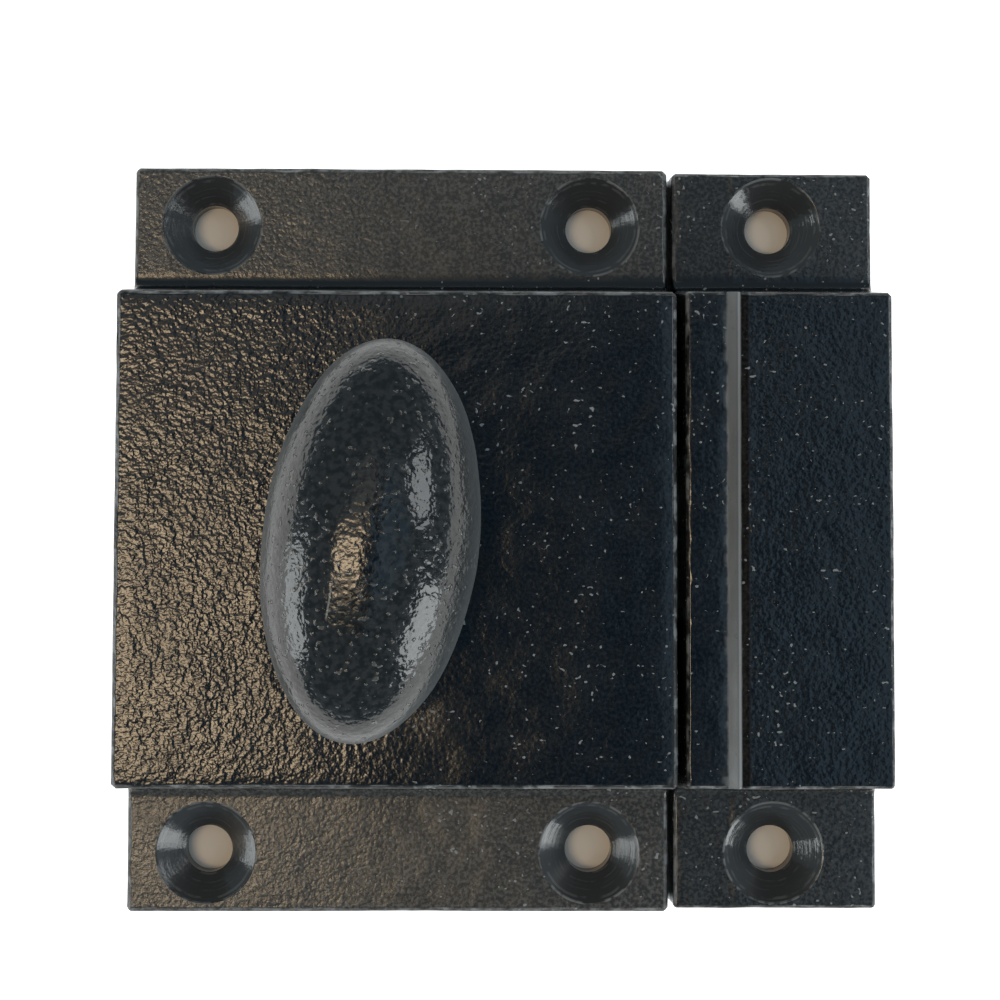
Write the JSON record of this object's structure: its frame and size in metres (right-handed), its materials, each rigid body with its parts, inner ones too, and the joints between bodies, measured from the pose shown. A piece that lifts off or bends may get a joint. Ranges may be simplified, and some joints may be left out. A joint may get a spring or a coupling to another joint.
{
  "type": "cupboard catch latch",
  "caption": "Surface-mounted cast-iron cupboard catch: a flanged case with a sprung bolt drawn back by an egg-shaped knob, and a matching keeper that takes the bolt.",
  "frame": {"origin": "middle of the case's screw pattern, on the mounting plane at the back", "axes": "+X from the case towards the keeper, +Y up the door, +Z out of the front through the knob"},
  "size_m": [0.0651, 0.065, 0.0316],
  "materials": {
    "painted_casting": "satin black paint over sand-cast iron",
    "painted_knob": "satin black paint over smoothed cast iron",
    "bolt_iron": "bare dark iron, rubbed where it slides",
    "plain_steel": "plain mild steel, dull",
    "spring_steel": "bright drawn spring wire, a little dulled",
    "plate_steel": "dark mill-finish sheet steel"
  },
  "bodies": {
    "case": {"latch_case": "painted_casting", "back_plate": "plate_steel", "plate_rivets": "plain_steel", "bolt_spring": "spring_steel", "keeper": "painted_casting"},
    "knob_set": {"knob": "painted_knob", "spindle": "plain_steel", "cam_follower": "plain_steel"},
    "bolt": {"latch_bolt": "bolt_iron"}
  },
  "joints": [
    {"name": "knob_turn", "type": "hinge", "parent": "case", "child": "knob_set", "pos_m": [-0.0016, 0, 0.011], "axis": [0, 0, -1], "range_deg": [0, 40]},
    {"name": "bolt_slide", "type": "slide", "parent": "case", "child": "bolt", "axis": [-1, 0, 0], "range_m": [0, 0.005], "stiffness_N_per_m": 600, "springref_m": -0.004, "deforming": ["bolt_spring"]}
  ],
  "couplings": [
    {"joint": "knob_turn", "follows": "bolt_slide", "rad_per_m": 139.6}
  ]
}
